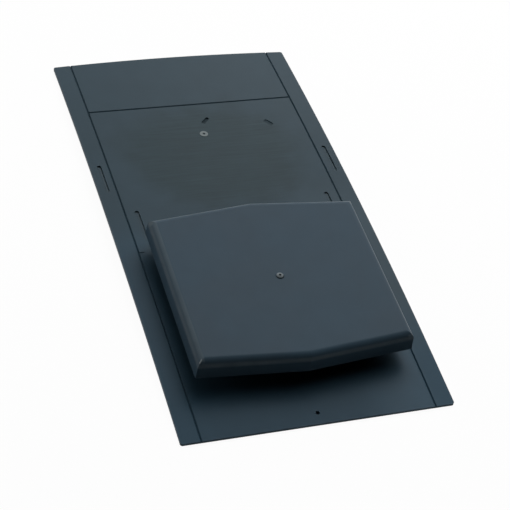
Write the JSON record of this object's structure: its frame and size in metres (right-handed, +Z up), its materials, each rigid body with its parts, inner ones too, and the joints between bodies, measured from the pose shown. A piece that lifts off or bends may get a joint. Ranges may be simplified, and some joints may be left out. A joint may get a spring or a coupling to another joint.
{
  "type": "roof tile vent",
  "caption": "Roof vent shaped like one slate: a bowed base plate with trim grooves and nail slots, under a low peaked cowl that shelters a slotted air throat.",
  "frame": {"origin": "centre of the plate's outline, at the level of the head and tail edges that the bowed plate rests on", "axes": "+Z up, away from the roof; +Y along the plate from its tail to its head, which is up the slope of a roof; +X to the right"},
  "size_m": [0.3, 0.6, 0.0536],
  "materials": {
    "plate_plastic": "satin slate grey polypropylene",
    "cowl_plastic": "satin slate grey polypropylene",
    "grille_plastic": "matt near black polypropylene"
  },
  "bodies": {
    "root": {"base_plate": "plate_plastic", "cowl": "cowl_plastic", "insect_grille": "grille_plastic"}
  },
  "joints": []
}
